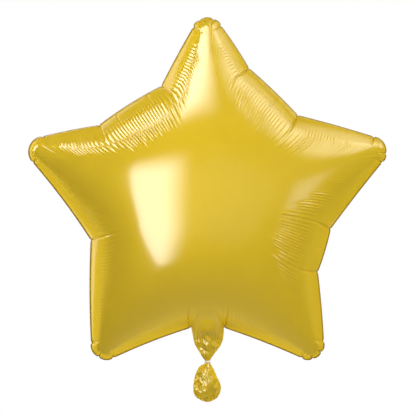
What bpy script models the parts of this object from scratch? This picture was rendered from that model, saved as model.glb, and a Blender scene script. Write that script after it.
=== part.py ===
"""Star foil balloon, inflated, with its gathered neck and tail.

Two sheets of metallised film are heat sealed together round a five-pointed outline.
Gas lifts them into a fat star: round tapering legs, a domed middle, and five short
waists where the seam is too long for the inflated shape. There the film gathers into
fine pleats across the seam, and doubles under at a few deep tucks that leave notches
in the outline. The filling neck leaves the bottom waist, is gathered into a narrow
throat by a wound thread tie, and flares below it into a crumpled tail.

Metres. +Z is up the neck into the star, +X to the right of the front sheet, and the
front sheet faces -Y. The origin is the middle of the throat, where the tie sits.
"""
import math

import bmesh
import bpy
import numpy as np

# Star outline, measured over the sealed rim
LEG_COUNT = 5
TIP_REACH = 0.2350          # star centre to the end of each leg
TIP_ROUNDING = 0.0205       # radius of each leg's rounded end
RIM_WIDTH = 0.0016          # flat sealed margin outside the seam
RIM_THICKNESS = 0.0008      # both films and the weld, at the seam

# Tucks of each waist, anticlockwise from the waist between the right and top legs.
# Each is (degrees from the waist's middle, distance of its notch from the star centre).
WAIST_TUCKS = (
    ((-9.2, 0.1604), (19.1, 0.1800)),
    ((-14.7, 0.1607), (17.6, 0.1695)),
    ((-1.3, 0.1535),),
    ((-7.8, 0.1560), (7.8, 0.1560)),
    ((-13.2, 0.1624), (7.0, 0.1580)),
)
TUCK_DEPTH = 0.0030         # how deep a tuck's crease is
TUCK_NOTCH = 0.0010         # how far it notches the outline
TUCK_LENGTH = 0.044         # how far the crease runs in from the seam

# Bulge of each edge between corners of the outline, outward positive, waist by waist.
# Each waist has one more edge than it has tucks.
EDGE_BULGES = (
    (0.0008, 0.0012, 0.0010),
    (0.0006, 0.0022, 0.0008),
    (-0.0022, 0.0016),
    (-0.0018, 0.0, -0.0014),
    (0.0008, 0.0012, -0.0008),
)

# Nicks between the puffs of film round each leg's end, as shares of the round end
TIP_NICKS = (
    (0.0, 0.30, 1.0),
    (0.0, 0.30, 0.72, 1.0),
    (0.0, 1.0),
    (0.0, 0.52, 1.0),
    (0.0, 0.34, 0.66, 1.0),
)
PUFF_HEIGHT = 0.0012        # how far a puff stands out past the round end
NICK_DEPTH = 0.0014         # how far a nick cuts into the edge
PUFF_STEPS = 3              # columns to a puff

# Inflated form: a steep side rises from the seam to a ridge, and the domed face begins
FULL_DEPTH = 0.172          # front of the star to its back
RIDGE_INSET = 0.0140        # seam to the ridge at the waists
TIP_RIDGE_INSET = 0.0088    # and at the legs' ends
RIDGE_SHARPNESS = 4.5       # higher makes a crisper ridge; at the waists
TIP_RIDGE_SHARPNESS = 16.0
RIDGE_CHANGE_FROM = 0.150   # distance from the centre where both begin to change
SIDE_POWER = 0.82           # under 1 bows the side outward
SIDE_END = 2.4              # insets from the seam where the side's pull on the face is gone
SEAM_BODY = 0.020           # share of the middle's fullness that the film keeps at its seam
SMOOTHING = 0.0070          # length along the edge over which the columns' headings even out

# Pleats of the waists
PLEAT_PITCH = 0.0074
PLEAT_DEPTH = 0.0011
PLEAT_REACH = 0.050         # how far the pleats run in from the seam
PLEAT_FADE = 0.016          # length over which they end
PLEAT_HALF_SPREAD = 23.0    # degrees to each side of a waist's middle
LEG_STEP = 0.0105           # spacing of the columns along a plain edge

# Surface rings from the seam to the middle of a sheet
SIDE_RINGS = (0.0, 0.30, 0.65, 0.95, 1.25)      # as shares of the ridge's inset
FACE_RINGS = 3              # from there to the plain middle
MIDDLE_RINGS = 3            # rings of the plain middle, which has fewer columns
MIDDLE_REACH = 0.55         # its size, as a share of the star's round picture
INNER_SHARE = 4             # one inner column for so many outer ones

# Neck, throat and tail
THROAT_DROP = 0.1970        # star centre to the middle of the throat
THROAT_RADIUS = 0.0030
THROAT_LENGTH = 0.0034
NECK_WIDTH = 0.0392
NECK_THICKNESS = 0.0150
NECK_ROOT = 0.022           # how far the neck runs into the star
NECK_FLARE = 0.72           # share of the neck's length in which it widens
TAIL_WIDTH = 0.0366
TAIL_THICKNESS = 0.0110
TAIL_LENGTH = 0.0512        # middle of the throat to the tail's end
TAIL_WIDEST = 0.62          # share of the tail's length where it is widest
TAIL_LEAN = -0.0022         # sideways drift of the tail's middle
NECK_COLUMNS = 24
NECK_RINGS = 9
TAIL_RINGS = 10
SECTION_POWER = 1.25        # over 1 makes the flattened sections sharp at their sides
GATHER_DEPTH = 0.16         # depth of the gathers beside the throat, share of the radius
GATHER_LENGTH = 0.0128      # how far the gathers run from the throat
CRUMPLE_DEPTH = 0.0016      # hand crumpling of the neck and tail
CRUMPLE_SHARE = 0.4         # most of the half thickness that a crumple takes or adds
CRUMPLE_WAVES = ((2.399, 1.713), (0.83, -2.17))     # radians a column and a ring, of two waves

# Tie
TIE_THREAD = 0.0010         # diameter of the thread
TIE_TURNS = 3
TIE_CLEARANCE = 0.0003      # thread to gathered film
TIE_STEPS = 18              # facets round the tie
BEAD_STEPS = 5              # facets over each turn of thread

# Solution of the height field and of the round picture
HARMONICS = 30
WALK_STEPS = 5              # steps in which a column goes from one ring to the next
NEWTON_STEPS = 4
FIT_SPACING = 0.0015        # spacing of the outline's points for both
WELD = 0.00001              # points nearer than this are one
EDGE_SAMPLES = 240          # spots that tell how much of an edge is pleated


def polar(degrees, radius):
    """A point of the star's own plane."""
    angle = math.radians(degrees)
    return np.array([radius * math.cos(angle), radius * math.sin(angle)])


def leg_angle(leg):
    return 90.0 + 360.0 / LEG_COUNT * (leg - 1)


def waist_angle(waist):
    return leg_angle(waist) + 180.0 / LEG_COUNT


def touch_point(corner, centre, side):
    """Where the straight edge from a tuck meets the round end of a leg."""
    away = centre - corner
    distance = np.linalg.norm(away)
    turn = math.atan2(away[1], away[0]) + side * math.asin(TIP_ROUNDING / distance)
    length = math.sqrt(distance ** 2 - TIP_ROUNDING ** 2)
    return corner + length * np.array([math.cos(turn), math.sin(turn)])


class Stations:
    """Columns of the sheet round the outline: where each is, and how it gathers."""

    def __init__(self):
        self.points = []
        self.pleat = []
        self.tuck = []
        self.lift = []

    def add(self, point, pleat=0.0, tuck=0.0, lift=0.0):
        self.points.append(point)
        self.pleat.append(pleat)
        self.tuck.append(tuck)
        self.lift.append(lift)


def waist_offset(point, waist):
    """Degrees of a point from the middle of a waist, seen from the star centre."""
    degrees = math.degrees(math.atan2(point[1], point[0])) - waist_angle(waist)
    return (degrees + 180.0) % 360.0 - 180.0


def add_edge(stations, start, end, bulge, waist):
    """The columns from start to before end: fine and pleated inside the waist's spread."""
    along = end - start
    length = np.linalg.norm(along)
    out = np.array([along[1], -along[0]]) / length
    spots = np.linspace(0.0, 1.0, EDGE_SAMPLES + 1)[1:]
    inside = [abs(waist_offset(start + along * s, waist)) < PLEAT_HALF_SPREAD for s in spots]
    share = sum(inside) / len(inside)
    fine = max(1, round(share * length / PLEAT_PITCH)) * 2 if share else 0
    coarse = max(1, round((1.0 - share) * length / LEG_STEP)) if share < 1.0 else 0
    outward = abs(waist_offset(end, waist)) > abs(waist_offset(start, waist))
    runs = [(fine, share, True), (coarse, 1.0 - share, False)]
    if not outward:
        runs.reverse()
    done = 0.0
    for count, part, pleated in runs:
        for step in range(count):
            place = done + part * step / count
            point = start + along * place + out * bulge * 4.0 * place * (1.0 - place)
            sign = 1.0 if step % 2 else -1.0
            stations.add(point, pleat=sign if pleated and step else 0.0)
        done += part


def add_round_end(stations, leg, centre, entry, leave):
    """The puffs of film round a leg's end, with a column in each nick between them."""
    first = math.atan2(*(entry - centre)[::-1])
    sweep = (math.atan2(*(leave - centre)[::-1]) - first) % (2 * math.pi)
    nicks = TIP_NICKS[leg]
    for low, high in zip(nicks, nicks[1:]):
        for step in range(PUFF_STEPS):
            angle = first + sweep * (low + (high - low) * step / PUFF_STEPS)
            point = centre + TIP_ROUNDING * np.array([math.cos(angle), math.sin(angle)])
            stations.add(point, lift=PUFF_HEIGHT if step else -NICK_DEPTH)


def outline_stations():
    """Walks the outline anticlockwise from the right leg's end."""
    stations = Stations()
    for leg in range(LEG_COUNT):
        before = (leg - 1) % LEG_COUNT
        centre = polar(leg_angle(leg), TIP_REACH - TIP_ROUNDING)
        next_centre = polar(leg_angle(leg + 1), TIP_REACH - TIP_ROUNDING)
        last_tuck = polar(waist_angle(before) + WAIST_TUCKS[before][-1][0],
                          WAIST_TUCKS[before][-1][1])
        tucks = [polar(waist_angle(leg) + turn, radius)
                 for turn, radius in WAIST_TUCKS[leg]]
        leave = touch_point(tucks[0], centre, 1)
        add_round_end(stations, leg, centre, touch_point(last_tuck, centre, -1), leave)
        corners = [leave] + tucks + [touch_point(tucks[-1], next_centre, -1)]
        for number, (start, end) in enumerate(zip(corners, corners[1:])):
            begun = len(stations.points)
            add_edge(stations, start, end, EDGE_BULGES[leg][number], leg)
            if number:
                stations.tuck[begun] = 1.0
                stations.lift[begun] = -TUCK_NOTCH
                stations.pleat[begun] = 0.0
            else:
                stations.lift[begun] = -NICK_DEPTH
    return stations


def outward_normals(points):
    along = np.roll(points, -1, axis=0) - np.roll(points, 1, axis=0)
    normals = np.stack([along[:, 1], -along[:, 0]], axis=1)
    return normals / np.linalg.norm(normals, axis=1, keepdims=True)


def smoothed(points, values, spread):
    """Values evened out along the edge, which closes on itself."""
    steps = np.linalg.norm(np.roll(points, -1, axis=0) - points, axis=1)
    along = np.concatenate([[0.0], np.cumsum(steps)[:-1]])
    apart = np.abs(along[:, None] - along)
    apart = np.minimum(apart, steps.sum() - apart)
    weight = np.exp(-((apart / spread) ** 2) / 2) * (steps + np.roll(steps, 1))
    weight /= weight.sum(axis=1, keepdims=True)
    return weight @ values


def close_points(points):
    """Closely and evenly spaced points on the outline through the given ones."""
    steps = np.linalg.norm(np.roll(points, -1, axis=0) - points, axis=1)
    along = np.concatenate([[0.0], np.cumsum(steps)[:-1]])
    spots = np.arange(0.0, steps.sum(), FIT_SPACING)
    return np.stack([np.interp(spots, along, line, period=steps.sum()) for line in points.T], axis=1)


class HeightField:
    """Half depth of the inflated star over its plane, away from the seam.

    A film blown up between two seams stands close to the square root of the torsion
    function of its outline: round across a leg, a cone along it, a dome between them.
    That function is minus a quarter of the radius squared plus harmonic terms, which
    are fitted so that it vanishes on the seam.
    """

    def __init__(self, seam):
        target = (seam ** 2).sum(axis=1) / 4
        self.terms = np.linalg.lstsq(self.basis(seam), target, rcond=None)[0]
        self.body = SEAM_BODY * self.terms[0]

    @staticmethod
    def basis(points):
        share = np.hypot(points[:, 0], points[:, 1]) / TIP_REACH
        angle = np.arctan2(points[:, 1], points[:, 0])
        columns = [np.ones_like(share)]
        for n in range(1, HARMONICS + 1):
            columns += [share ** n * np.cos(n * angle), share ** n * np.sin(n * angle)]
        return np.stack(columns, axis=1)

    def at(self, points):
        level = self.basis(points) @ self.terms - (points ** 2).sum(axis=1) / 4
        level = (np.maximum(level, 0.0) + self.body) / (self.terms[0] + self.body)
        return FULL_DEPTH / 2 * np.sqrt(level)


class RoundPicture:
    """The star's plane pictured on a disc of radius 1, with angles kept.

    Lines from the disc's middle to its edge are lines in the star that run from its
    middle, turn into each leg and meet the seam squarely, and never cross.
    """

    def __init__(self, seam):
        place = seam[:, 0] + 1j * seam[:, 1]
        powers = self.powers(place)
        basis = np.concatenate([powers.real, -powers.imag[:, 1:]], axis=1)
        found = np.linalg.lstsq(basis, -np.log(np.abs(place)), rcond=None)[0]
        self.terms = found[:HARMONICS + 1] + 1j * np.concatenate([[0.0], found[HARMONICS + 1:]])
        self.slopes = self.terms[1:] * np.arange(1, HARMONICS + 1) / TIP_REACH

    @staticmethod
    def powers(place):
        return (place[:, None] / TIP_REACH) ** np.arange(HARMONICS + 1)

    def disc(self, place):
        return place * np.exp(self.powers(place) @ self.terms)

    def walk(self, place, start, end):
        """Moves places of the star as their pictures on the disc go from start to end."""
        for share in np.linspace(0.0, 1.0, WALK_STEPS + 1)[1:]:
            spot = start + (end - start) * share
            for _ in range(NEWTON_STEPS):
                powers = self.powers(place)
                miss = np.log(place * np.exp(powers @ self.terms) / spot)
                place = place - miss / (1.0 / place + powers[:, :-1] @ self.slopes)
        return place


def fade(value):
    """0 to 1 with level ends."""
    value = np.clip(value, 0.0, 1.0)
    return value * value * (3.0 - 2.0 * value)


def plane_rings(outer, seam, out, inset, lift):
    """Places in the star's plane: square to the seam up the side, then to the middle."""
    rings = [seam + out * (lift * (1.0 - fade(share)) - inset * share)[:, None]
             for share in SIDE_RINGS]
    picture = RoundPicture(close_points(outer))
    place = rings[-1][:, 0] + 1j * rings[-1][:, 1]
    start = picture.disc(place)
    middle = MIDDLE_REACH * start / np.abs(start)
    spots = [start + (middle - start) * share for share in np.linspace(0.0, 1.0, FACE_RINGS + 1)]
    spots += [middle * share for share in np.linspace(1.0, 0.0, MIDDLE_RINGS + 1)[1:-1]]
    for before, spot in zip(spots, spots[1:]):
        place = picture.walk(place, before, spot)
        rings.append(np.stack([place.real, place.imag], axis=1))
    return np.array(rings + [np.zeros_like(seam)])


def sheet_rings(stations):
    """Points of the front sheet as (ring, column, xyz), from the rim to the middle."""
    outer = np.array(stations.points)
    pleat, tuck, lift = (np.array(values) for values in (stations.pleat, stations.tuck, stations.lift))
    out = smoothed(outer, outward_normals(outer), SMOOTHING)
    out /= np.linalg.norm(out, axis=1, keepdims=True)
    seam = outer - out * RIM_WIDTH
    near_tip = np.clip((np.hypot(outer[:, 0], outer[:, 1]) - RIDGE_CHANGE_FROM)
                       / (TIP_REACH - RIDGE_CHANGE_FROM), 0.0, 1.0)
    near_tip = smoothed(outer, near_tip, SMOOTHING)
    inset = RIDGE_INSET + (TIP_RIDGE_INSET - RIDGE_INSET) * near_tip
    inset = np.minimum(inset, (TIP_ROUNDING - RIM_WIDTH) / max(SIDE_RINGS))
    sharpness = RIDGE_SHARPNESS + (TIP_RIDGE_SHARPNESS - RIDGE_SHARPNESS) * near_tip

    plane = plane_rings(outer, seam, out, inset, lift)
    travel = np.cumsum(np.linalg.norm(np.diff(plane, axis=0, prepend=plane[:1]), axis=2), axis=0)
    field = HeightField(close_points(seam))
    face = np.array([field.at(ring) for ring in plane])
    share = np.maximum(travel / inset, 1e-4)
    side = field.at(seam - out * inset[:, None]) * share ** SIDE_POWER * (1.0 + (share / SIDE_END) ** 4)
    height = (side ** -sharpness + face ** -sharpness) ** (-1.0 / sharpness)
    rings = np.zeros(plane.shape[:2] + (3,))
    rings[:, :, 0::2] = plane
    rings[:, :, 1] = -height

    slope_in = np.gradient(rings, axis=0)
    slope_round = np.roll(rings, -1, axis=1) - np.roll(rings, 1, axis=1)
    facing = np.cross(slope_in, slope_round)
    facing /= np.maximum(np.linalg.norm(facing, axis=2, keepdims=True), 1e-12)
    facing *= np.where(facing[:, :, 1:2] > 0, -1.0, 1.0)
    rise = fade(share) * (1.0 - fade((travel - PLEAT_REACH + PLEAT_FADE) / PLEAT_FADE))
    groove = fade(share) * (1.0 - fade(travel / TUCK_LENGTH))
    rings += facing * (pleat * PLEAT_DEPTH * rise - tuck * TUCK_DEPTH * groove)[:, :, None]
    rings[0, :, 1] = -RIM_THICKNESS / 2

    rim = np.zeros((1, len(outer), 3))
    rim[0, :, 0::2] = outer + out * lift[:, None]
    return np.concatenate([rim, rings])


def weld(mesh):
    bmesh.ops.remove_doubles(mesh, verts=mesh.verts, dist=WELD)


def add_grid(mesh, points):
    """A primitive grid laid over rows of points whose last column joins the first."""
    rows, columns = points.shape[:2]
    made = bmesh.ops.create_grid(mesh, x_segments=columns, y_segments=rows - 1, size=1.0)
    for vert in made["verts"]:
        column = round((vert.co.x + 1.0) / 2.0 * columns)
        row = round((vert.co.y + 1.0) / 2.0 * (rows - 1))
        vert.co = points[row, column % columns]
    weld(mesh)


def finish_object(name, mesh, material, collection):
    data = bpy.data.meshes.new(name)
    mesh.to_mesh(data)
    mesh.free()
    data.materials.append(material)
    obj = bpy.data.objects.new(name, data)
    collection.objects.link(obj)
    return obj


def star_half(material, collection):
    """The front sheet with its half of the rim, open at the seam plane."""
    rings = sheet_rings(outline_stations())
    outer_rings = 1 + len(SIDE_RINGS) + FACE_RINGS
    mesh = bmesh.new()
    add_grid(mesh, rings[:outer_rings])
    add_grid(mesh, rings[outer_rings:, ::INNER_SHARE])
    gap = [edge for edge in mesh.edges
           if edge.is_boundary and all(vert.co.y < -RIM_THICKNESS for vert in edge.verts)]
    bmesh.ops.bridge_loops(mesh, edges=gap)
    bmesh.ops.recalc_face_normals(mesh, faces=mesh.faces)
    bmesh.ops.translate(mesh, verts=mesh.verts, vec=(0.0, 0.0, THROAT_DROP))
    star = finish_object("foil_envelope", mesh, material, collection)
    mirror = star.modifiers.new("back sheet", "MIRROR")
    mirror.use_axis = (False, True, False)
    mirror.merge_threshold = 0.0001
    return star


def neck_half_width(height):
    """Neck above the throat, tail below it."""
    start = THROAT_LENGTH / 2
    if height >= 0.0:
        seam_height = THROAT_DROP - WAIST_TUCKS[3][0][1]
        share = max(0.0, height - start) / (NECK_FLARE * (seam_height - start))
        full = NECK_WIDTH / 2
        return THROAT_RADIUS + (full - THROAT_RADIUS) * math.sin(math.pi / 2 * min(1.0, share))
    share = max(0.0, -height - start) / (TAIL_LENGTH - start)
    full = TAIL_WIDTH / 2
    if share < TAIL_WIDEST:
        return THROAT_RADIUS + (full - THROAT_RADIUS) * math.sin(math.pi / 2 * share / TAIL_WIDEST)
    return full * math.sqrt(max(0.0, 1.0 - ((share - TAIL_WIDEST) / (1.0 - TAIL_WIDEST)) ** 2))


def neck_half_thickness(height, half_width):
    full_width, thick = ((NECK_WIDTH, NECK_THICKNESS) if height >= 0.0
                         else (TAIL_WIDTH, TAIL_THICKNESS))
    share = (half_width - THROAT_RADIUS) / (full_width / 2 - THROAT_RADIUS)
    if share <= 0.0:
        return half_width
    return THROAT_RADIUS + (thick / 2 - THROAT_RADIUS) * share


def crumple(column, ring):
    """A fixed uneven value from -1 to 1 for a corner of the crumpled film."""
    first, second = (column * turn + ring * rise for turn, rise in CRUMPLE_WAVES)
    return math.sin(first) * math.cos(second)


def neck_rings():
    """Sections of the neck, throat and tail from inside the star to the tail's end."""
    top = THROAT_DROP - WAIST_TUCKS[3][0][1] + NECK_ROOT
    start = THROAT_LENGTH / 2
    heights = list(np.linspace(top, start, NECK_RINGS))
    heights += list(-start - (TAIL_LENGTH - start) * np.sin(np.linspace(0.0, math.pi / 2, TAIL_RINGS)))
    rows = []
    for ring, height in enumerate(heights):
        wide = neck_half_width(height)
        thick = neck_half_thickness(height, wide)
        away = min(1.0, (abs(height) - start) / GATHER_LENGTH)
        gather = GATHER_DEPTH * (1.0 - away)
        drift = TAIL_LEAN * math.sin(math.pi * min(1.0, max(0.0, -height) / TAIL_LENGTH))
        row = []
        for column in range(NECK_COLUMNS):
            angle = 2.0 * math.pi * column / NECK_COLUMNS
            radius = 1.0 - (gather if column % 2 else 0.0)
            limit = CRUMPLE_SHARE * thick
            bump = max(-limit, min(limit, CRUMPLE_DEPTH * away * crumple(column, ring)))
            flat = math.copysign(abs(math.sin(angle)) ** SECTION_POWER, math.sin(angle))
            row.append((drift + wide * radius * math.cos(angle),
                        flat * (thick * radius + bump), height))
        rows.append(row)
    for end in (0, -1):
        middle = np.mean(rows[end], axis=0)
        rows[end] = [tuple(middle)] * NECK_COLUMNS
    return np.array(rows)


def neck_solid(material, collection):
    mesh = bmesh.new()
    add_grid(mesh, neck_rings())
    bmesh.ops.recalc_face_normals(mesh, faces=mesh.faces)
    return finish_object("neck_and_tail_form", mesh, material, collection)


def tie_ring(material, collection):
    """Turns of thread round the throat: a beaded profile turned about the neck's axis."""
    inner = THROAT_RADIUS + TIE_CLEARANCE
    half = TIE_THREAD / 2
    length = TIE_TURNS * TIE_THREAD
    profile = [(inner, length / 2)]
    for turn in range(TIE_TURNS):
        middle = length / 2 - (turn + 0.5) * TIE_THREAD
        for step in range(1, BEAD_STEPS):
            angle = math.pi / 2 - math.pi * step / BEAD_STEPS
            profile.append((inner + half + half * math.cos(angle), middle + half * math.sin(angle)))
    profile.append((inner, -length / 2))
    data = bpy.data.meshes.new("neck_tie")
    count = len(profile)
    data.from_pydata([(x, 0.0, z) for x, z in profile],
                     [(i, (i + 1) % count) for i in range(count)], [])
    data.materials.append(material)
    tie = bpy.data.objects.new("neck_tie", data)
    collection.objects.link(tie)
    screw = tie.modifiers.new("turned ring", "SCREW")
    screw.steps = screw.render_steps = TIE_STEPS
    screw.use_merge_vertices = True
    screw.merge_threshold = 0.0001
    return tie


def foil_material():
    material = bpy.data.materials.new("gold_foil")
    material.use_nodes = True
    shader = material.node_tree.nodes["Principled BSDF"]
    shader.inputs["Base Color"].default_value = (0.72, 0.50, 0.035, 1.0)
    shader.inputs["Metallic"].default_value = 1.0
    shader.inputs["Roughness"].default_value = 0.28
    return material


def thread_material():
    material = bpy.data.materials.new("white_thread")
    material.use_nodes = True
    shader = material.node_tree.nodes["Principled BSDF"]
    shader.inputs["Base Color"].default_value = (0.86, 0.85, 0.84, 1.0)
    shader.inputs["Metallic"].default_value = 0.0
    shader.inputs["Roughness"].default_value = 0.6
    return material


def clear_scene():
    for obj in list(bpy.data.objects):
        bpy.data.objects.remove(obj)


def new_collection(name):
    collection = bpy.data.collections.new(name)
    bpy.context.scene.collection.children.link(collection)
    return collection


def main():
    clear_scene()
    balloon = new_collection("star_foil_balloon")
    joined = new_collection("joined_forms")
    foil = foil_material()
    star = star_half(foil, balloon)
    neck = neck_solid(foil, joined)
    neck.hide_render = True
    neck.display_type = "WIRE"
    union = star.modifiers.new("neck", "BOOLEAN")
    union.operation = "UNION"
    union.object = neck
    tie_ring(thread_material(), balloon)


main()
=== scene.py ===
"""The look of a star foil balloon: satin gold film, pleated waists, crumpled neck and tail.

Metres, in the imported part's own frame: +Z up the neck into the star, the front sheet
faces -Y, the origin is the middle of the tied throat.
"""
import math

import bmesh
import bpy
import numpy as np
from mathutils import Matrix, Vector


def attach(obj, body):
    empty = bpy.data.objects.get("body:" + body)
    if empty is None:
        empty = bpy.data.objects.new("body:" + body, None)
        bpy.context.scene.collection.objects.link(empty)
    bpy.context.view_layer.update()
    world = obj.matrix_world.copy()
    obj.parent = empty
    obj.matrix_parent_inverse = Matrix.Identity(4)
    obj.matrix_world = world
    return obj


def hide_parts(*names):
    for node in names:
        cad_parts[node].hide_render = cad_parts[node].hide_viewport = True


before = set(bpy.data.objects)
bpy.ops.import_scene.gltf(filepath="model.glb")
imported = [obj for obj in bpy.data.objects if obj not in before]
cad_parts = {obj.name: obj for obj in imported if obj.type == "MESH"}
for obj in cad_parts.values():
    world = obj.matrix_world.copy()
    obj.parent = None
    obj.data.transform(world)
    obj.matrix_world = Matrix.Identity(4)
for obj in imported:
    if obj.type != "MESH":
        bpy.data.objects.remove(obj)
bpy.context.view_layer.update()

# The star's outline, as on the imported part
LEG_COUNT = 5
STAR_HEIGHT = 0.1970        # throat to the middle of the star
TIP_REACH = 0.2350
TIP_ROUNDING = 0.0205
RIM_WIDTH = 0.0016
RIM_THICKNESS = 0.0008
RIM_SEAL_AND_SHADE = (0.5, 1.0, 1.0, 1.0, 0.5)        # how far each row of the rim has its painted shade and its low gloss
RIM_BEND = 0.25             # where the rim bends, as a share of the way from its edge in
WAIST_TUCKS = (             # degrees from the waist's middle, distance from the star's
    ((-9.2, 0.1604), (19.1, 0.1800)),
    ((-14.7, 0.1607), (17.6, 0.1695)),
    ((-1.3, 0.1535),),
    ((-7.8, 0.1560), (7.8, 0.1560)),
    ((-13.2, 0.1624), (7.0, 0.1580)),
)

# Bulge of each edge between two corners of the outline, outward positive, waist by
# waist: each waist has one more edge than it has tucks
EDGE_BULGES = (
    (0.0008, 0.0012, 0.0010),
    (0.0006, 0.0022, 0.0008),
    (-0.0022, 0.0016),
    (-0.0018, 0.0000, -0.0014),
    (0.0008, 0.0012, -0.0008),
)

# Nicks between the puffs of film round each leg's end, as shares of the round end
TIP_NICKS = (
    (0.00, 0.30, 1.00),
    (0.00, 0.30, 0.72, 1.00),
    (0.00, 1.00),
    (0.00, 0.52, 1.00),
    (0.00, 0.34, 0.66, 1.00),
)
PUFF_HEIGHT = 0.0011        # how far a puff stands out past the round end
PUFF_BLUNTNESS = 0.6        # below 1 makes a puff blunter than an arch
NICK_DEPTH = 0.0013         # how far a nick cuts into the edge
NICK_SPREAD = 0.0008
NICK_CREASE_DEPTH = 0.0007
NICK_CREASE_LENGTH = 0.009

# Inflated form
FULL_DEPTH = 0.172
SEAM_BODY = 0.020           # fullness that the face has over its seam, as a share of the middle's
RIDGE_RADII = (0.150, 0.185, 0.210, 0.219, 0.230)       # distances from the star's middle
RIDGE_INSETS = (0.0158, 0.0148, 0.0128, 0.0106, 0.0072)     # seam to the ridge, there
RIDGE_SHARPNESS = (6.0, 9.0, 13.0, 14.0, 16.0)          # higher is crisper
UPPER_SHARE = 0.20          # how much wider the side is where it faces up, narrower down
SIDE_POWER = 0.82           # below 1 makes the side leave the seam upright
SIDE_END = 2.4              # insets from the seam where the side's pull on the face is gone
SMOOTHING = 0.0070          # along the edge, for the directions of the mesh's columns
SMOOTHING_STEP = 0.0005     # spacing of the samples that are smoothed

# Pleats
PLEAT_PITCH = 0.0041
PLEAT_COLUMNS = 6           # columns of the mesh to a pleat
PLEAT_DEPTH = 0.0012
PLEAT_STEEP = 0.36          # share of its width that its steeper side takes
PLEAT_TURNS = (0.0, 13.0, 22.0, 32.0)           # degrees from a waist's middle
PLEAT_REACHES = (0.036, 0.033, 0.013, 0.005)    # ridge to a pleat's inner end, there
PLEAT_FADE = 0.008          # length over which it ends
PLEAT_TURN_FADE = 5.0       # degrees over which the last pleats of a waist give out
PLEAT_STARTS = (0.76, 0.72, 0.80, 0.80, 1.90)       # insets from the seam, waist by waist
PLEAT_RISE = 0.14           # insets over which it reaches its height
PLEAT_CHANCE = 0.35         # how far one differs from the next
PLEAT_STRENGTHS = (0.60, 1.0, 0.18, 0.35, 1.00)     # waist by waist
PLEAT_SPANS = (1.0, 1.0, 0.8, 0.35, 1.4)            # their length, as shares
PLAIN_STEP = 0.0032         # spacing of the columns along a plain edge
TIP_STEP = 0.0008           # and round a leg's end

TUCK_DEPTH = 0.0014
TUCK_LENGTH = 0.044
TUCK_START = 0.0040         # length in from the seam over which it gets its depth
TUCK_SPREAD = 0.0007
TUCK_LAP = 0.0006           # how far one side of a tuck stands over the other
LAP_SPREAD = 0.0050

# Fine creases in from the edge: direction from the star's middle in degrees, length
CREASES = ((118.6, 0.030), (135.2, 0.022), (56.2, 0.027), (-21.0, 0.018))
CREASE_DEPTH = 0.0009
CREASE_SPREAD = 0.0005

# Rows of the mesh from the seam inward, as shares of the ridge's inset
SIDE_ROWS = (0.0, 0.03, 0.10, 0.22, 0.38, 0.58, 0.76, 0.87, 0.95, 1.03, 1.14, 1.30)
FACE_ROWS = 9               # from there to the plain middle
FACE_SPACING = 1.15         # above 1 sets them closer near the side
MIDDLE_ROWS = 14            # the plain middle, with fewer columns
MIDDLE_REACH = 0.55         # its size, as a share of the star's round picture
HARMONICS = 30              # terms in the formulas for the fullness and the round picture
NEWTON_STEPS = 6
OUTLINE_STEP = 0.0004
WELD = 0.000002             # points nearer than this are one


def fade(value):
    """0 to 1 with level ends."""
    value = np.clip(value, 0.0, 1.0)
    return value * value * (3.0 - 2.0 * value)


def uneven(number, seed=0.0):
    """A fixed scattered value from 0 to 1 for each whole number."""
    return np.modf(np.abs(np.sin(number * 12.9898 + seed * 78.233) * 43758.5453))[0]


def polar(degrees, radius):
    angle = math.radians(degrees)
    return np.array([radius * math.cos(angle), radius * math.sin(angle)])


def leg_angle(leg):
    """Direction of a leg from the star's middle: leg 0 points right, leg 1 up."""
    return 90.0 + 360.0 / LEG_COUNT * (leg - 1)


def waist_angle(waist):
    """Direction of the waist that follows the leg of the same number."""
    return leg_angle(waist) + 180.0 / LEG_COUNT


def touch_point(corner, centre, side):
    """Where the edge from a tuck meets the round end of a leg."""
    away = centre - corner
    distance = np.linalg.norm(away)
    turn = math.atan2(away[1], away[0]) + side * math.asin(TIP_ROUNDING / distance)
    length = math.sqrt(distance ** 2 - TIP_ROUNDING ** 2)
    return corner + length * np.array([math.cos(turn), math.sin(turn)])


def round_end(centre, entry, leave):
    """The round end of a leg from where the edge comes in to where it leaves."""
    first = math.atan2(*(entry - centre)[::-1])
    sweep = (math.atan2(*(leave - centre)[::-1]) - first) % (2 * math.pi)
    angles = first + sweep * np.linspace(0.0, 1.0, int(sweep * TIP_ROUNDING / OUTLINE_STEP))
    return centre + TIP_ROUNDING * np.stack([np.cos(angles), np.sin(angles)], axis=1)


def bowed_edge(start, end, bulge):
    """The edge between two corners, bowed outward by the bulge at its middle."""
    along = end - start
    length = np.linalg.norm(along)
    out = np.array([along[1], -along[0]]) / length
    share = np.linspace(0.0, 1.0, int(length / OUTLINE_STEP))[:, None]
    return start + along * share + out * bulge * 4.0 * share * (1.0 - share)


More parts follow.
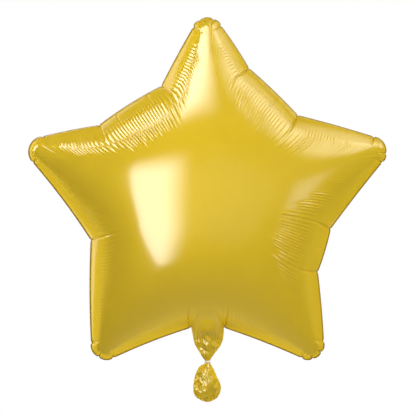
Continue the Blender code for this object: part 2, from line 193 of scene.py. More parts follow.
class Columns:
    """The mesh's columns round the star: place on the edge, pleats, tucks and nicks."""

    def __init__(self):
        self.points, self.strength, self.start = [], [], []
        self.reach, self.pleat, self.puff = [], [], []
        self.tucks, self.nicks = [], []
        self.pleats_done = 0
        for leg in range(LEG_COUNT):
            self.add_leg(leg)
        self.points = np.array(self.points)
        self.strength = np.array(self.strength)
        self.start = np.array(self.start)
        self.reach = np.array(self.reach)
        self.pleat = np.array(self.pleat)
        self.puff = np.array(self.puff)
        steps = np.linalg.norm(np.roll(self.points, -1, axis=0) - self.points, axis=1)
        self.length = steps.sum()
        self.along = np.concatenate([[0.0], np.cumsum(steps)[:-1]])

    def add_leg(self, leg):
        before = (leg - 1) % LEG_COUNT
        centre = polar(leg_angle(leg), TIP_REACH - TIP_ROUNDING)
        next_centre = polar(leg_angle(leg + 1), TIP_REACH - TIP_ROUNDING)
        last = polar(waist_angle(before) + WAIST_TUCKS[before][-1][0], WAIST_TUCKS[before][-1][1])
        tucks = [polar(waist_angle(leg) + turn, radius) for turn, radius in WAIST_TUCKS[leg]]
        entry = touch_point(last, centre, -1)
        leave = touch_point(tucks[0], centre, 1)
        self.add_run(round_end(centre, entry, leave), leg, tip=True)
        corners = [leave] + tucks + [touch_point(tucks[-1], next_centre, -1)]
        for number, (start, end) in enumerate(zip(corners, corners[1:])):
            if number:
                self.tucks.append(len(self.points))
            self.add_run(bowed_edge(start, end, EDGE_BULGES[leg][number]), leg)

    def add_run(self, path, leg, tip=False):
        """Columns along one run of the outline, a whole number of pleats in all."""
        steps = np.linalg.norm(np.diff(path, axis=0), axis=1)
        along = np.concatenate([[0.0], np.cumsum(steps)])
        turn = np.degrees(np.arctan2(path[:, 1], path[:, 0])) - waist_angle(leg)
        turn = (turn + 180.0) % 360.0 - 180.0
        inside = fade((PLEAT_TURNS[-1] - np.abs(turn)) / PLEAT_TURN_FADE)
        spacing = PLAIN_STEP + (PLEAT_PITCH / PLEAT_COLUMNS - PLAIN_STEP) * inside
        if tip:
            inside = np.zeros_like(inside)
            spacing = np.full_like(spacing, TIP_STEP)
        count = np.concatenate([[0.0], np.cumsum(steps / spacing[:-1])])
        pleats = max(1, round(count[-1] / PLEAT_COLUMNS))
        spots = np.interp(np.arange(pleats * PLEAT_COLUMNS) / (pleats * PLEAT_COLUMNS),
                          count / count[-1], along)
        first = len(self.points)
        self.points += [(np.interp(spot, along, path[:, 0]), np.interp(spot, along, path[:, 1]))
                        for spot in spots]
        self.strength += list(np.interp(spots, along, inside) * PLEAT_STRENGTHS[leg])
        reach = np.interp(np.abs(turn), PLEAT_TURNS, PLEAT_REACHES) * PLEAT_SPANS[leg]
        self.reach += list(np.interp(spots, along, reach))
        self.start += [PLEAT_STARTS[leg]] * len(spots)
        self.pleat += list(self.pleats_done + np.arange(len(spots)) / PLEAT_COLUMNS)
        self.pleats_done += pleats
        share = spots / along[-1]
        puff = np.zeros(len(spots))
        if tip:
            nicks = TIP_NICKS[leg]
            for low, high in zip(nicks, nicks[1:]):
                part = np.clip((share - low) / (high - low), 0.0, 1.0)
                puff = np.maximum(puff, np.sin(math.pi * part) ** PUFF_BLUNTNESS)
            self.nicks += [first + int(round(nick * len(spots))) for nick in nicks]
        self.puff += list(puff)

    def distance_to(self, columns):
        """Signed distance along the edge from the nearest of these columns."""
        best = np.full(len(self.points), self.length)
        for column in columns:
            away = self.along - self.along[column % len(self.points)]
            away = (away + self.length / 2) % self.length - self.length / 2
            best = np.where(np.abs(away) < np.abs(best), away, best)
        return best

    def nearest(self, degrees):
        """The column whose place on the edge lies in this direction from the middle."""
        return int(np.argmax(self.points @ polar(degrees, 1.0) / np.hypot(*self.points.T)))

    def smoothed(self, values, spread):
        """Values evened out along the edge, which closes on itself."""
        even = np.arange(0.0, self.length, SMOOTHING_STEP)
        window = np.exp(-((np.minimum(even, self.length - even) / spread) ** 2) / 2)
        window = np.fft.rfft(window / window.sum())
        out = []
        for column in values.reshape(len(self.points), -1).T:
            line = np.interp(even, self.along, column, period=self.length)
            line = np.fft.irfft(np.fft.rfft(line) * window, len(even))
            out.append(np.interp(self.along, even, line, period=self.length))
        return np.stack(out, axis=1).reshape(values.shape)


class Fullness:
    """Half depth of the inflated star over its plane, away from the seam.

    It is the square root of the outline's torsion function, a little raised: minus a
    quarter of the radius squared plus harmonic terms, fitted to vanish on the seam.
    """

    def __init__(self, seam):
        basis = self.basis(seam)
        self.terms = np.linalg.lstsq(basis, (seam ** 2).sum(axis=1) / 4, rcond=None)[0]
        self.body = SEAM_BODY * self.terms[0]

    @staticmethod
    def basis(points):
        share = np.hypot(points[:, 0], points[:, 1]) / TIP_REACH
        angle = np.arctan2(points[:, 1], points[:, 0])
        columns = [np.ones_like(share)]
        for n in range(1, HARMONICS + 1):
            columns += [share ** n * np.cos(n * angle), share ** n * np.sin(n * angle)]
        return np.stack(columns, axis=1)

    def at(self, points):
        flat = points.reshape(-1, 2)
        level = self.basis(flat) @ self.terms - (flat ** 2).sum(axis=1) / 4
        level = (np.maximum(level, 0.0) + self.body) / (self.terms[0] + self.body)
        return (FULL_DEPTH / 2 * np.sqrt(level)).reshape(points.shape[:-1])


class RoundPicture:
    """The star's plane pictured on a disc of radius 1, angles kept (a conformal map).

    Lines from the disc's middle to its edge are lines in the star that run from its
    middle, turn into each leg and meet the seam squarely, and never cross.
    """

    def __init__(self, seam):
        place = seam[:, 0] + 1j * seam[:, 1]
        powers = self.powers(place)
        basis = np.concatenate([powers.real, -powers.imag[:, 1:]], axis=1)
        found = np.linalg.lstsq(basis, -np.log(np.abs(place)), rcond=None)[0]
        self.terms = found[:HARMONICS + 1] + 1j * np.concatenate([[0.0], found[HARMONICS + 1:]])
        self.steps = self.terms[1:] * np.arange(1, HARMONICS + 1) / TIP_REACH

    @staticmethod
    def powers(place):
        return (place[..., None] / TIP_REACH) ** np.arange(HARMONICS + 1)

    def disc(self, place):
        return place * np.exp(self.powers(place) @ self.terms)

    def plane(self, disc, guess):
        """The place in the plane of each place on the disc, from a near guess."""
        for _ in range(NEWTON_STEPS):
            powers = self.powers(guess)
            miss = np.log(guess * np.exp(powers @ self.terms) / disc)
            guess = guess - miss / (1.0 / guess + powers[..., :-1] @ self.steps)
        return guess


def by_radius(points, values):
    """A value for each point from values that are given at the ridge's radii."""
    radius = np.hypot(points[:, 0], points[:, 1])
    return np.interp(radius, RIDGE_RADII, values)


class Sheet:
    """Rows of points of one sheet from the seam to the star's middle."""

    def __init__(self, columns):
        self.columns = columns
        points = columns.points
        tangent = np.roll(points, -1, axis=0) - np.roll(points, 1, axis=0)
        normal = np.stack([tangent[:, 1], -tangent[:, 0]], axis=1)
        normal /= np.linalg.norm(normal, axis=1, keepdims=True)
        normal = columns.smoothed(normal, SMOOTHING)
        self.out = normal / np.linalg.norm(normal, axis=1, keepdims=True)

        tuck = columns.distance_to(columns.tucks)
        nick = columns.distance_to(columns.nicks)
        near = np.exp(-np.abs(tuck) / NICK_SPREAD) + np.exp(-np.abs(nick) / NICK_SPREAD)
        self.lift = columns.puff * PUFF_HEIGHT - NICK_DEPTH * np.minimum(near, 1.0)
        self.edge = points + self.out * self.lift[:, None]
        self.seam = points - self.out * RIM_WIDTH
        self.tuck, self.nick = tuck, nick

        self.inset = columns.smoothed(by_radius(points, RIDGE_INSETS), SMOOTHING)
        self.inset = self.inset * (1.0 + UPPER_SHARE * self.out[:, 1])
        self.sharpness = columns.smoothed(by_radius(points, RIDGE_SHARPNESS), SMOOTHING)
        self.plane = self.plane_rows()
        self.travel = self.travel_rows()
        self.fullness = Fullness(self.seam)
        self.points = self.shaped()

    def plane_rows(self):
        """Places in the star's plane: square to the seam at first, then to the middle."""
        rows = [self.seam + self.out * (self.lift * (1.0 - fade(share)) - self.inset * share)[:, None]
                for share in SIDE_ROWS]
        picture = RoundPicture(self.columns.points)
        place = rows[-1][:, 0] + 1j * rows[-1][:, 1]
        start = picture.disc(place)
        heading = start / np.abs(start)
        middle = MIDDLE_REACH * heading
        shares = list(np.linspace(0.0, 1.0, FACE_ROWS + 1)[1:])
        spots = [start + (middle - start) * share ** FACE_SPACING for share in shares]
        spots += [middle * share for share in np.linspace(1.0, 0.0, MIDDLE_ROWS + 1)[1:-1]]
        for spot in spots:
            place = picture.plane(spot, place)
            rows.append(np.stack([place.real, place.imag], axis=1))
        rows.append(np.zeros_like(rows[0]))
        return np.array(rows)

    def travel_rows(self):
        """Distance of each point from the seam, measured along its column."""
        steps = np.linalg.norm(np.diff(self.plane, axis=0), axis=2)
        return np.concatenate([np.zeros((1, steps.shape[1])), np.cumsum(steps, axis=0)])

    def shaped(self):
        """The inflated sheet: the lower of its steep side and its full face, with relief."""
        face = self.fullness.at(self.plane)
        ridge = self.fullness.at(self.seam - self.out * self.inset[:, None])
        share = np.maximum(self.travel / self.inset, 1e-4)
        side = ridge * share ** SIDE_POWER * (1.0 + (share / SIDE_END) ** 4)
        power = self.sharpness
        height = (side ** -power + face ** -power) ** (-1.0 / power)
        height = np.hypot(height, RIM_THICKNESS / 2)
        rows = np.zeros(self.plane.shape[:2] + (3,))
        rows[:, :, 0::2] = self.plane
        rows[:, :, 1] = -height
        return rows + self.facing(rows) * self.relief()[:, :, None]

    @staticmethod
    def facing(rows):
        """Outward direction of the smooth film at each point."""
        inward = np.gradient(rows, axis=0)
        around = np.roll(rows, -1, axis=1) - np.roll(rows, 1, axis=1)
        facing = np.cross(inward, around)
        facing /= np.maximum(np.linalg.norm(facing, axis=2, keepdims=True), 1e-12)
        return facing * np.where(facing[:, :, 1:2] > 0, -1.0, 1.0)

    def relief(self):
        """Pleats, tucks and creases: how far the film stands out of its smooth form."""
        number = np.floor(self.columns.pleat)
        across = self.columns.pleat - number
        wave = np.minimum(across / PLEAT_STEEP, (1.0 - across) / (1.0 - PLEAT_STEEP))
        height = PLEAT_DEPTH * self.columns.strength * (1.0 + PLEAT_CHANCE * (uneven(number) - 0.5))
        reach = self.columns.reach * (1.0 + PLEAT_CHANCE * (uneven(number, 1.0) - 0.5)) + self.inset
        rise = fade((self.travel / self.inset - self.columns.start) / PLEAT_RISE)
        end = 1.0 - fade((self.travel - reach + PLEAT_FADE) / PLEAT_FADE)
        relief = wave * height * rise * end

        left = 1.0 - fade(self.travel / TUCK_LENGTH)
        groove = TUCK_DEPTH * np.exp(-np.abs(self.tuck) / TUCK_SPREAD)
        lap = TUCK_LAP * np.exp(-np.abs(self.tuck) / LAP_SPREAD) * (self.tuck > 0)
        relief += (lap - groove) * left * fade(self.travel / TUCK_START)
        for direction, length in CREASES:
            away = self.columns.distance_to([self.columns.nearest(direction)])
            left = 1.0 - fade(self.travel / length)
            relief -= CREASE_DEPTH * np.exp(-np.abs(away) / CREASE_SPREAD) * left
        left = 1.0 - fade(self.travel / NICK_CREASE_LENGTH)
        relief -= NICK_CREASE_DEPTH * np.exp(-np.abs(self.nick) / NICK_SPREAD) * left
        relief[0] = 0.0
        return relief


def weld(mesh):
    bmesh.ops.remove_doubles(mesh, verts=mesh.verts, dist=WELD)


def add_grid(mesh, points, seal_and_shade=None):
    """A grid laid over rows of points, whose last column joins the first.

    The last argument says, row by row, how much of each row is the flat heat-sealed rim, which
    carries painted shade.
    """
    rows, columns = points.shape[:2]
    layer = mesh.verts.layers.float.get("seal_and_shade") or mesh.verts.layers.float.new("seal_and_shade")
    made = bmesh.ops.create_grid(mesh, x_segments=columns, y_segments=rows - 1, size=1.0)
    for vert in made["verts"]:
        column = round((vert.co.x + 1.0) / 2.0 * columns)
        row = round((vert.co.y + 1.0) / 2.0 * (rows - 1))
        vert.co = points[row, column % columns]
        vert[layer] = seal_and_shade[row] if seal_and_shade is not None else 0.0
    weld(mesh)


def finish_piece(name, mesh, material, node):
    """A smooth-shaded piece on the one body, which stands for its node."""
    bmesh.ops.recalc_face_normals(mesh, faces=mesh.faces)
    data = bpy.data.meshes.new(name)
    mesh.to_mesh(data)
    mesh.free()
    data.shade_smooth()
    data.materials.append(material)
    piece = bpy.data.objects.new(name, data)
    bpy.context.scene.collection.objects.link(piece)
    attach(piece, "root")
    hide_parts(node)
    return piece


def star_envelope(material):
    """Both films and the rim as one closed skin."""
    sheet = Sheet(Columns())
    middle = len(SIDE_ROWS) + FACE_ROWS
    front = sheet.points
    back = front * (1.0, -1.0, 1.0)
    rim = np.zeros((1,) + front.shape[1:])
    rim[0, :, 0::2] = sheet.edge
    near_rim = (1.0 - RIM_BEND) * rim[0] + RIM_BEND * front[0]
    near_rim[:, 1] = front[0, :, 1]
    # Rows from the front face over the seam and the rim to the back face
    band = np.concatenate([front[:middle][::-1], [near_rim], rim,
                           [near_rim * (1.0, -1.0, 1.0)], back[:middle]])
    # How much of each row is the sealed rim, which gets the painted shade
    seal_and_shade = np.zeros(len(band))
    seam = middle - 1
    seal_and_shade[seam:seam + len(RIM_SEAL_AND_SHADE)] = RIM_SEAL_AND_SHADE
    mesh = bmesh.new()
    add_grid(mesh, band, seal_and_shade)
    for rows in (front, back):
        add_grid(mesh, rows[middle:, ::PLEAT_COLUMNS])
    for side in (-1, 1):
        gap = [edge for edge in mesh.edges
               if edge.is_boundary and edge.verts[0].co.y * side > 0.0]
        bmesh.ops.bridge_loops(mesh, edges=gap)
    bmesh.ops.translate(mesh, verts=mesh.verts, vec=(0.0, 0.0, STAR_HEIGHT))
    return finish_piece("gold_star_film", mesh, material, "foil_envelope")


# Neck and tail: height above the throat, left and right side as seen from the front
NECK_PROFILE = (
    (0.0740, -0.0205, 0.0205), (0.0430, -0.0203, 0.0207), (0.0337, -0.0188, 0.0202),
    (0.0261, -0.0172, 0.0190), (0.0211, -0.0156, 0.0168), (0.0148, -0.0119, 0.0126),
    (0.0098, -0.0086, 0.0082), (0.0048, -0.0054, 0.0046), (0.0017, -0.0032, 0.0030),
    (-0.0017, -0.0032, 0.0030), (-0.0053, -0.0086, 0.0050), (-0.0103, -0.0126, 0.0080),
    (-0.0178, -0.0158, 0.0114), (-0.0254, -0.0174, 0.0152), (-0.0317, -0.0180, 0.0170),
    (-0.0380, -0.0175, 0.0161), (-0.0430, -0.0154, 0.0138), (-0.0468, -0.0112, 0.0103),
    (-0.0493, -0.0058, 0.0055), (-0.0508, -0.0012, 0.0010),
)
NECK_THICKNESS = (          # height, half depth: it leaves the star's face near the top
    (0.0740, 0.0530), (0.0680, 0.0506), (0.0620, 0.0458), (0.0560, 0.0394), (0.0500, 0.0312),
    (0.0440, 0.0222), (0.0380, 0.0148), (0.0300, 0.0104), (0.0211, 0.0082), (0.0136, 0.0064),
    (0.0060, 0.0044), (0.0017, 0.0030), (-0.0017, 0.0030), (-0.0090, 0.0046), (-0.0241, 0.0058),
    (-0.0392, 0.0046), (-0.0508, 0.0010),
)
NECK_COLUMNS = 220
NECK_ROWS = 230
THROAT_HALF_LENGTH = 0.0017
SPREAD_LENGTH = 0.014       # from the throat, where gathers give way to crumples
GATHERS = 9                 # on each face
GATHER_DEPTH = 0.10         # as a share of the section
GATHER_DRIFT = 1.3          # how unevenly they are spaced, in radians
GATHER_START = 0.003        # the thread presses them flat nearer the throat's middle
SECTION_POWERS = (1.0, 1.1)         # shape of the section across and through: 1 is oval
ROOT_POWER = 0.5            # below 1 is boxy, where the neck runs into the star
ROOT_HEIGHT = 0.028         # where it starts to turn boxy
ROOT_LENGTH = 0.014
FACE_POWER = 0.5            # lower keeps crumples and wrinkles nearer the section's sides

# Crumpled facets: size across and along, how far their corners stand out, lean, seed
CRUMPLES = (
    (0.0062, 0.0105, 0.0052, 0.45, 3.0),
    (0.0040, 0.0070, 0.0030, -0.60, 5.0),
    (0.0022, 0.0040, 0.0009, 0.25, 9.0),
)
CRUMPLE_TOP = 0.026         # height on the neck where they start to give out
CRUMPLE_FADE = 0.012
BACK_SEED = 20.0            # makes the back's crumples differ from the front's
SQUARE_SHIFT = 200.0        # keeps the squares that carry the facets numbered above zero
SQUARES_IN_ROW = 57
DIAGONAL_CHOICE = 31        # numbers the squares anew, for the way each is cut in two

# Fine upright wrinkles at the neck's root
WRINKLE_PITCH = 0.0029
WRINKLE_HEIGHT = 0.00028
WRINKLE_DRIFT = 60.0        # how they lean, in radians a metre
WRINKLE_SPAN = (0.022, 0.044)       # heights between which they show
WRINKLE_FADES = (0.008, 0.012)      # lengths over which they begin and end


def curve_through(keys, heights):
    """Smooth values at the heights from key heights, which fall from first to last."""
    keys = np.array(keys)[::-1]
    spots, values = keys[:, 0], keys[:, 1:]
    slopes = np.gradient(values, spots, axis=0)
    out = np.zeros((len(heights), values.shape[1]))
    for number, height in enumerate(heights):
        i = int(np.clip(np.searchsorted(spots, height) - 1, 0, len(spots) - 2))
        width = spots[i + 1] - spots[i]
        t = float(np.clip((height - spots[i]) / width, 0.0, 1.0))
        out[number] = ((2 * t ** 3 - 3 * t ** 2 + 1) * values[i]
                       + (t ** 3 - 2 * t ** 2 + t) * width * slopes[i]
                       + (3 * t ** 2 - 2 * t ** 3) * values[i + 1]
                       + (t ** 3 - t ** 2) * width * slopes[i + 1])
    return out


def facets(across, down, seed):
    """Flat triangular facets between scattered heights on a grid of unit squares."""
    column, row = np.floor(across), np.floor(down)
    a, b = across - column, down - row
    square = column + SQUARES_IN_ROW * row
    low, right = uneven(square, seed), uneven(square + 1, seed)
    upper, far = uneven(square + SQUARES_IN_ROW, seed), uneven(square + SQUARES_IN_ROW + 1, seed)
    one = np.where(a + b < 1.0, low + a * (right - low) + b * (upper - low),
                   far + (1.0 - a) * (upper - far) + (1.0 - b) * (right - far))
    other = np.where(a > b, low + a * (right - low) + b * (far - right),
                     low + b * (upper - low) + a * (far - upper))
    return np.where(uneven(column + DIAGONAL_CHOICE * row, seed + 1.0) > 0.5, one, other) - 0.5


def crumpled(x, z, seed):
    """How far crumpled film stands out: large facets with smaller ones on them."""
    total = np.zeros_like(x)
    for width, length, height, lean, own in CRUMPLES:
        across = (x * math.cos(lean) + z * math.sin(lean)) / width
        along = (z * math.cos(lean) - x * math.sin(lean)) / length
        total += height * facets(across + SQUARE_SHIFT, along + SQUARE_SHIFT, own + seed)
    return total


def neck_piece(material):
    """Neck, gathered throat and crumpled tail: one tube, flattened, closed at both ends."""
    heights = np.linspace(NECK_PROFILE[0][0], NECK_PROFILE[-1][0], NECK_ROWS)
    sides = curve_through(NECK_PROFILE, heights)
    thick = curve_through(NECK_THICKNESS, heights)
    middle = sides.mean(axis=1)[:, None]
    half = (sides[:, 1:] - sides[:, :1]) / 2
    angle = 2 * math.pi * np.arange(NECK_COLUMNS)[None, :] / NECK_COLUMNS
    heights = heights[:, None]
    away = fade((np.abs(heights) - THROAT_HALF_LENGTH) / SPREAD_LENGTH)
    root = fade((heights - ROOT_HEIGHT) / ROOT_LENGTH)
    gather = GATHER_DEPTH * np.cos(GATHERS * 2 * angle + GATHER_DRIFT * np.sin(3 * angle))
    gather = gather * (1.0 - away) * fade(np.abs(heights) / GATHER_START)
    powers = [power + (ROOT_POWER - power) * root for power in SECTION_POWERS]
    across = np.sign(np.cos(angle)) * np.abs(np.cos(angle)) ** powers[0]
    flat = np.sign(np.sin(angle)) * np.abs(np.sin(angle)) ** powers[1]
    x = middle + half * across * (1 + gather)
    z = np.broadcast_to(heights, x.shape)
    face = np.abs(np.sin(angle)) ** FACE_POWER
    crumple = np.where(np.sin(angle) >= 0, crumpled(x, z, BACK_SEED), crumpled(x, z, 0.0))
    crumple = crumple * away * (1.0 - fade((heights - CRUMPLE_TOP) / CRUMPLE_FADE)) * face
    begun = fade((heights - WRINKLE_SPAN[0]) / WRINKLE_FADES[0])
    ended = fade((heights - WRINKLE_SPAN[1]) / WRINKLE_FADES[1])
    wrinkle = WRINKLE_HEIGHT * np.sin(x * 2 * math.pi / WRINKLE_PITCH + WRINKLE_DRIFT * z)
    wrinkle = wrinkle * begun * (1.0 - ended)
    y = flat * thick * (1 + gather) + np.sign(np.sin(angle)) * (crumple + wrinkle * face)
    rows = np.stack([x, y, z], axis=2)
    for end in (0, -1):
        rows[end] = rows[end].mean(axis=0)
    mesh = bmesh.new()
    add_grid(mesh, rows)
    return finish_piece("gathered_neck_and_tail", mesh, material, "foil_envelope")


# Tie
THREAD = 0.0010             # diameter
THREAD_SIDES = 12
TIE_TURNS = 2               # three strands lie side by side where it begins and ends
TIE_RADIUS = 0.0038
TURN_STEPS = 40


def thread_tie(material):
    """Thread wound close round the throat as a helix, closed flat at both ends."""
    mesh = bmesh.new()
    start = (TIE_RADIUS, 0.0, -THREAD * TIE_TURNS / 2)
    place = Matrix.Translation(start) @ Matrix.Rotation(math.pi / 2, 4, "X")
    ring = bmesh.ops.create_circle(mesh, segments=THREAD_SIDES, radius=THREAD / 2, matrix=place)
    edges = {edge for vert in ring["verts"] for edge in vert.link_edges}
    made = bmesh.ops.spin(mesh, geom=list(edges) + ring["verts"], axis=(0, 0, 1), cent=(0, 0, 0),
                          dvec=(0, 0, THREAD / TURN_STEPS), angle=2 * math.pi * TIE_TURNS,
                          steps=TURN_STEPS * TIE_TURNS, use_merge=False)
    for loop in (list(edges), [item for item in made["geom_last"]
                               if isinstance(item, bmesh.types.BMEdge)]):
        bmesh.ops.contextual_create(mesh, geom=loop)
    return finish_piece("wound_thread_tie", mesh, material, "neck_tie")


# Finishes
LACQUER_DEEP = (0.690, 0.468, 0.008, 1.0)
LACQUER_PALE = (0.735, 0.504, 0.012, 1.0)
LACQUER_GRAIN = 38.0        # scale of its slow unevenness
# Painted shade: the sealed rim's colour, much darker than the lacquer, stands for shadow along the
# edge
RIM_PAINTED_SHADE = (0.300, 0.185, 0.024, 1.0)
GLOSS = (0.35, 0.04)        # of the open film and of the sealed rim
ROUGHNESS = (0.44, 0.56)
# Painted shade: the darker thread colour, laid in the grooves between the plies
PLY_GROOVE_SHADE = (0.80, 0.79, 0.77, 1.0)
COTTON = (0.89, 0.88, 0.87, 1.0)
PLY_SCALE = 420.0
PLY_HEIGHT = 0.0001
PAPER = (0.80, 0.80, 0.80, 1.0)


def shaded(name):
    """A new material with its node tree and its shader."""
    material = bpy.data.materials.new(name)
    material.use_nodes = True
    return material, material.node_tree, material.node_tree.nodes["Principled BSDF"]


def mixed(tree, factor, first, second):
    """A colour between two, each of which is a value or another node's output."""
    node = tree.nodes.new("ShaderNodeMix")
    node.data_type = "RGBA"
    tree.links.new(factor, node.inputs["Factor"])
    for name, colour in (("A", first), ("B", second)):
        if isinstance(colour, tuple):
            node.inputs[name].default_value = colour
        else:
            tree.links.new(colour, node.inputs[name])
    return node.outputs["Result"]


def spread_over(tree, value, ends):
    """A number that goes from the first end to the second as the value goes from 0 to 1."""
    node = tree.nodes.new("ShaderNodeMapRange")
    node.inputs["To Min"].default_value, node.inputs["To Max"].default_value = ends
    tree.links.new(value, node.inputs["Value"])
    return node.outputs["Result"]


def foil_material():
    """Satin gold lacquer on bright film; the flat sealed rim is less glossy and is painted darker, as
    shade along the edge.
    """
    material, tree, shader = shaded("satin_gold_film")
    shader.inputs["Metallic"].default_value = 0.25
    shader.inputs["Specular IOR Level"].default_value = 0.0
    shader.inputs["Specular Tint"].default_value = (0.90, 0.66, 0.06, 1.0)
    shader.inputs["Coat Roughness"].default_value = 0.12
    shader.inputs["Coat IOR"].default_value = 4.0

    place = tree.nodes.new("ShaderNodeTexCoord")
    grain = tree.nodes.new("ShaderNodeTexNoise")
    grain.inputs["Scale"].default_value = LACQUER_GRAIN
    grain.inputs["Detail"].default_value = 5.0
    tree.links.new(place.outputs["Object"], grain.inputs["Vector"])
    # The rim mask lowers the gloss and paints the rim darker as shade
    seal_and_shade = tree.nodes.new("ShaderNodeAttribute")
    seal_and_shade.attribute_name = "seal_and_shade"
    lacquer = mixed(tree, grain.outputs["Fac"], LACQUER_DEEP, LACQUER_PALE)
    colour = mixed(tree, seal_and_shade.outputs["Fac"], lacquer, RIM_PAINTED_SHADE)
    tree.links.new(colour, shader.inputs["Base Color"])
    gloss = spread_over(tree, seal_and_shade.outputs["Fac"], GLOSS)
    tree.links.new(gloss, shader.inputs["Coat Weight"])
    roughness = spread_over(tree, grain.outputs["Fac"], ROUGHNESS)
    tree.links.new(roughness, shader.inputs["Roughness"])
    return material


def thread_material():
    """Matt cotton with its plies as fine slanting bands, painted darker in the grooves between them
    as shade.
    """
    material, tree, shader = shaded("white_cotton_thread")
    shader.inputs["Roughness"].default_value = 0.7
    place = tree.nodes.new("ShaderNodeTexCoord")
    plies = tree.nodes.new("ShaderNodeTexWave")
    plies.bands_direction = "DIAGONAL"
    plies.inputs["Scale"].default_value = PLY_SCALE
    plies.inputs["Distortion"].default_value = 1.2
    tree.links.new(place.outputs["Object"], plies.inputs["Vector"])
    # Darker where the plies' bump is low: painted shade in the grooves
    colour = mixed(tree, plies.outputs["Fac"], PLY_GROOVE_SHADE, COTTON)
    tree.links.new(colour, shader.inputs["Base Color"])
    twist = tree.nodes.new("ShaderNodeBump")
    twist.inputs["Distance"].default_value = PLY_HEIGHT
    tree.links.new(plies.outputs["Fac"], twist.inputs["Height"])
    tree.links.new(twist.outputs["Normal"], shader.inputs["Normal"])
    return material


foil = foil_material()
star_envelope(foil)
neck_piece(foil)
thread_tie(thread_material())

# Floor, backdrop, lamps and camera
FLOOR_HEIGHT = -3.20
FLOOR_SIZE = (20.0, 20.0)
BACKDROP_PLACE = (0.0, 4.0, 0.4)
BACKDROP_SIZE = (4.2, 4.2)
SOFT = (0.20, 0.20, 0.20, 0.20)     # how far the light fades in from each edge, as shares
SOFTER = (0.40, 0.40, 0.40, 0.40)
STUDIO_GREY = (0.10, 0.10, 0.10, 1.0)
CAMERA_DISTANCE = 3.0
CAMERA_HEIGHT = 0.1939
FRAME_WIDTH = 0.5217        # across the picture, at the balloon
SENSOR_WIDTH = 36.0         # millimetres
TAPER_START = 0.31          # height at which a tapered softbox starts to narrow, as a share


def pale_paper(name, shown_white):
    """Matt paper; shown white, it looks plain white to the camera and in reflections.

    The white paper is clear from behind, so the balloon can be seen from there too.
    """
    material = bpy.data.materials.new(name)
    material.use_nodes = True
    tree = material.node_tree
    tree.nodes.clear()
    output = tree.nodes.new("ShaderNodeOutputMaterial")
    matt = tree.nodes.new("ShaderNodeBsdfDiffuse")
    matt.inputs["Color"].default_value = PAPER
    link = tree.links.new
    if not shown_white:
        link(matt.outputs[0], output.inputs["Surface"])
        return material
    white = tree.nodes.new("ShaderNodeEmission")
    seen = tree.nodes.new("ShaderNodeLightPath")
    share = seen.outputs["Is Camera Ray"]
    for ray in ("Is Glossy Ray", "Is Transmission Ray"):
        either = tree.nodes.new("ShaderNodeMath")
        either.operation = "MAXIMUM"
        link(share, either.inputs[0])
        link(seen.outputs[ray], either.inputs[1])
        share = either.outputs[0]
    mix = tree.nodes.new("ShaderNodeMixShader")
    link(share, mix.inputs["Fac"])
    link(matt.outputs[0], mix.inputs[1])
    link(white.outputs[0], mix.inputs[2])
    clear = tree.nodes.new("ShaderNodeBsdfTransparent")
    side = tree.nodes.new("ShaderNodeNewGeometry")
    one_sided = tree.nodes.new("ShaderNodeMixShader")
    link(side.outputs["Backfacing"], one_sided.inputs["Fac"])
    link(mix.outputs[0], one_sided.inputs[1])
    link(clear.outputs[0], one_sided.inputs[2])
    link(one_sided.outputs[0], output.inputs["Surface"])
    return material


def panel(name, centre, size, facing, material):
    """A flat sheet of the setting, not part of the balloon."""
    mesh = bmesh.new()
    turn = Vector(facing).to_track_quat("Z", "Y").to_matrix().to_4x4()
    place = Matrix.Translation(centre) @ turn @ Matrix.Diagonal((size[0] / 2, size[1] / 2, 1.0, 1.0))
    bmesh.ops.create_grid(mesh, x_segments=1, y_segments=1, size=1.0, matrix=place)
    data = bpy.data.meshes.new(name)
    mesh.to_mesh(data)
    mesh.free()
    data.materials.append(material)
    piece = bpy.data.objects.new(name, data)
    bpy.context.scene.collection.objects.link(piece)
    return piece


def soft_edges(data, softness, taper):
    """Light that falls to none at the softbox's left, right, lower and upper edge.

    softness is how far the light fades in from each, as shares. taper is how far the left
    side draws in at the lower end, as a share of the width; the right draws in a third as far.
    """
    data.use_nodes = True
    tree = data.node_tree

    def math_node(operation, first, second):
        node = tree.nodes.new("ShaderNodeMath")
        node.operation = operation
        for socket, value in zip(node.inputs, (first, second)):
            if isinstance(value, float):
                socket.default_value = value
            else:
                tree.links.new(value, socket)
        return node.outputs[0]

    across = tree.nodes.new("ShaderNodeNewGeometry")
    parts = tree.nodes.new("ShaderNodeSeparateXYZ")
    tree.links.new(across.outputs["Parametric"], parts.inputs[0])
    x, y = parts.outputs["X"], parts.outputs["Y"]
    below = math_node("MAXIMUM", math_node("SUBTRACT", 1.0, math_node("DIVIDE", y, TAPER_START)), 0.0)
    right_in = math_node("MULTIPLY", below, taper / 3)
    insides = (math_node("SUBTRACT", x, math_node("MULTIPLY", below, taper)),
               math_node("SUBTRACT", math_node("SUBTRACT", 1.0, x), right_in),
               y, math_node("SUBTRACT", 1.0, y))
    strength = 1.0
    for inside, share in zip(insides, softness):
        step = tree.nodes.new("ShaderNodeMapRange")
        step.interpolation_type = "SMOOTHSTEP"
        step.inputs["From Max"].default_value = share
        tree.links.new(inside, step.inputs["Value"])
        strength = math_node("MULTIPLY", strength, step.outputs["Result"])
    tree.links.new(strength, tree.nodes["Emission"].inputs["Strength"])


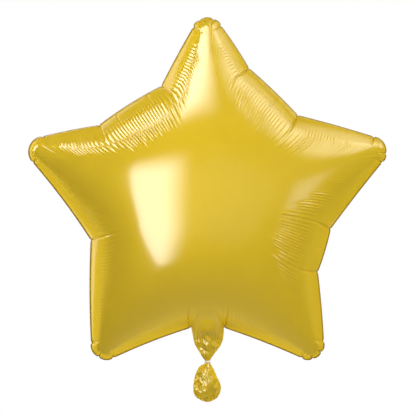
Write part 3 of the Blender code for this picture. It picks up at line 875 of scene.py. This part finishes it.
def lamp(name, azimuth, elevation, distance, size, brightness, softness=None, taper=0.0):
    """A softbox aimed at the middle of the star; azimuth 0 is over the camera, + right.

    One with softness makes the highlights and lights nothing else. One without is a
    bounced fill light, which shows no image of itself.
    """
    turn, rise = math.radians(azimuth), math.radians(elevation)
    away = Vector((math.sin(turn) * math.cos(rise), -math.cos(turn) * math.cos(rise), math.sin(rise)))
    data = bpy.data.lights.new(name, "AREA")
    data.shape = "RECTANGLE" if taper else "ELLIPSE"
    data.size, data.size_y = size
    data.energy = brightness * math.pi * size[0] * size[1]
    light = bpy.data.objects.new(name, data)
    light.location = Vector((0.0, 0.0, STAR_HEIGHT)) + away * distance
    light.rotation_euler = away.to_track_quat("Z", "Y").to_euler()
    light.visible_camera = False
    if softness:
        soft_edges(data, softness, taper)
        light.visible_diffuse = False
    else:
        light.visible_glossy = False
    bpy.context.scene.collection.objects.link(light)
    return light


panel("backdrop", BACKDROP_PLACE, BACKDROP_SIZE, (0, -1, 0), pale_paper("backdrop_paper", True))
panel("floor", (0.0, 0.0, FLOOR_HEIGHT), FLOOR_SIZE, (0, 0, 1), pale_paper("floor_paper", False))

# Azimuth, elevation, distance, width and height, brightness; softness and taper
lamp("key_softbox", -22.2, -0.7, 1.25, (0.69, 1.38), 4.1, (0.09, 0.50, 0.08, 0.26), 0.50)
lamp("top_softbox", -24.0, 54.0, 1.35, (1.35, 0.72), 3.7, (0.20, 0.60, 0.40, 0.10))
lamp("left_top_softbox", -96.0, 24.0, 1.35, (1.05, 0.80), 3.6, SOFT)
lamp("right_top_softbox", 94.0, 54.0, 1.35, (2.80, 1.50), 1.8, (0.50, 0.50, 0.50, 0.30))
lamp("right_softbox", 60.0, 33.0, 1.50, (0.90, 0.70), 0.9, SOFTER)
lamp("right_waist_softbox", 47.0, -3.0, 1.50, (0.56, 0.80), 0.75, SOFTER)
lamp("left_rear_softbox", -146.0, 10.0, 1.50, (0.90, 1.70), 0.9, SOFT)
lamp("right_rear_softbox", 122.0, 24.0, 1.50, (0.80, 0.60), 1.3, SOFT)
lamp("front_fill", 8.0, 2.0, 1.60, (1.20, 1.20), 4.2)
lamp("front_right_fill", 42.0, 10.0, 1.60, (1.00, 1.20), 1.5)
lamp("top_fill", 0.0, 62.0, 1.40, (1.60, 0.90), 1.2)
lamp("left_rear_top_fill", -136.0, 56.0, 1.40, (1.60, 0.90), 2.9)
lamp("left_rear_fill", -114.0, -10.0, 1.50, (1.00, 1.60), 5.2)
lamp("right_rear_fill", 116.0, 0.0, 1.50, (1.00, 1.60), 3.2)
lamp("low_fill", 180.0, -66.0, 1.20, (1.60, 0.80), 4.0)
lamp("rear_fill", 180.0, 0.0, 1.60, (1.20, 1.20), 0.5)

world = bpy.data.worlds.new("studio")
world.use_nodes = True
world.node_tree.nodes["Background"].inputs["Color"].default_value = STUDIO_GREY
bpy.context.scene.world = world

camera = bpy.data.objects.new("camera", bpy.data.cameras.new("camera"))
camera.location = (0.0, -CAMERA_DISTANCE, CAMERA_HEIGHT)
camera.rotation_euler = (math.pi / 2, 0.0, 0.0)
camera.data.sensor_width = SENSOR_WIDTH
camera.data.lens = SENSOR_WIDTH * CAMERA_DISTANCE / FRAME_WIDTH
bpy.context.scene.collection.objects.link(camera)
bpy.context.scene.camera = camera
bpy.context.scene.view_settings.view_transform = "Standard"
